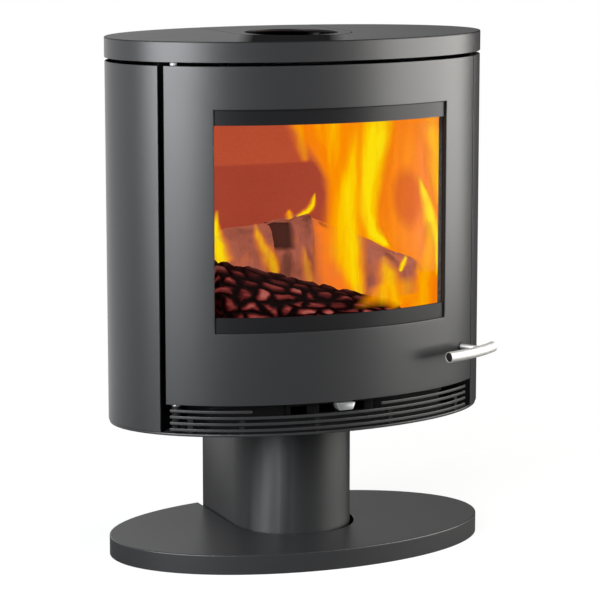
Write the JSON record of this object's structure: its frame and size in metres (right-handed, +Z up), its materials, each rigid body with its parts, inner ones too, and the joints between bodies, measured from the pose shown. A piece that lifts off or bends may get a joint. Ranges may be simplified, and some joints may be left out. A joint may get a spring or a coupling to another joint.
{
  "type": "pedestal wood stove",
  "caption": "Oval wood-burning stove on a column and base plate, with a curved glass door, latch handle, air lever, brick-lined firebox and top flue outlet.",
  "frame": {"origin": "on the floor, under the middle of the oval body", "axes": "+Z up, -Y out of the door, +X to the right of someone facing the door"},
  "size_m": [0.639, 0.4037, 0.843],
  "materials": {
    "black_paint": "satin anthracite heat-proof paint on steel",
    "dark_steel": "matt black heat-proof paint on steel",
    "brushed_steel": "fine brushed stainless steel",
    "zinc_steel": "dull zinc-plated steel",
    "cast_iron": "raw cast iron with soot",
    "firebrick": "matt vermiculite slab lit by the fire",
    "glass": "clear curved ceramic glass with printed black bands",
    "gasket": "black glass-fibre rope",
    "charred_wood": "charred, cracked into blocks",
    "split_wood": "split log, greyed and scorched"
  },
  "bodies": {
    "stove": {"base_cover": "black_paint", "column": "black_paint", "column_back_cover": "black_paint", "column_bolt_1": "zinc_steel", "column_bolt_2": "zinc_steel", "column_bolt_3": "zinc_steel", "column_bolt_4": "zinc_steel", "bottom_plate": "black_paint", "left_side_panel": "black_paint", "right_side_panel": "black_paint", "back_panel": "black_paint", "left_front_post": "dark_steel", "right_front_post": "dark_steel", "left_rear_post": "dark_steel", "right_rear_post": "dark_steel", "vent_grille": "black_paint", "air_box": "dark_steel", "air_intake_spigot": "dark_steel", "firebox_body": "dark_steel", "lining_back_lower": "firebrick", "lining_back_upper": "firebrick", "lining_corner_left": "firebrick", "lining_corner_right": "firebrick", "lining_side_left": "firebrick", "lining_side_right": "firebrick", "lining_base": "firebrick", "baffle_plate": "firebrick", "grate": "cast_iron", "log_guard": "dark_steel", "ash_pan": "zinc_steel", "flue_collar": "cast_iron", "rear_heat_shield": "zinc_steel", "top_plate": "black_paint", "top_insert": "black_paint", "upper_hinge_pin": "zinc_steel", "lower_hinge_pin": "zinc_steel", "lower_hinge_pedestal": "dark_steel", "hinge_washer": "zinc_steel", "upper_hinge_bracket": "dark_steel", "latch_keeper": "zinc_steel", "front_log": "charred_wood", "rear_log_left": "split_wood", "rear_log_right": "split_wood"},
    "door": {"door_panel": "black_paint", "glass_gasket": "gasket", "door_glass": "glass", "door_inner_frame": "dark_steel", "door_gasket": "gasket", "glass_clip_top": "zinc_steel", "glass_clip_bottom": "zinc_steel", "clip_screw_top": "zinc_steel", "clip_screw_bottom": "zinc_steel", "latch_bush": "dark_steel"},
    "latch": {"handle_bar": "brushed_steel", "latch_spindle": "brushed_steel", "latch_nut": "zinc_steel", "latch_cam": "zinc_steel"},
    "air_control": {"air_slide": "dark_steel", "lever_knob": "brushed_steel"}
  },
  "joints": [
    {"name": "door_swing", "type": "hinge", "parent": "stove", "child": "door", "pos_m": [-0.24849, -0.1043, 0.5385], "axis": [0, 0, -1], "range_deg": [0, 105]},
    {"name": "handle_turn", "type": "hinge", "parent": "door", "child": "latch", "pos_m": [0.2407, -0.12502, 0.3324], "axis": [-0.566, 0.8244, 0], "range_deg": [-15, 50]},
    {"name": "air_lever_slide", "type": "slide", "parent": "stove", "child": "air_control", "axis": [1, 0, 0], "range_m": [-0.128, 0.05]}
  ]
}
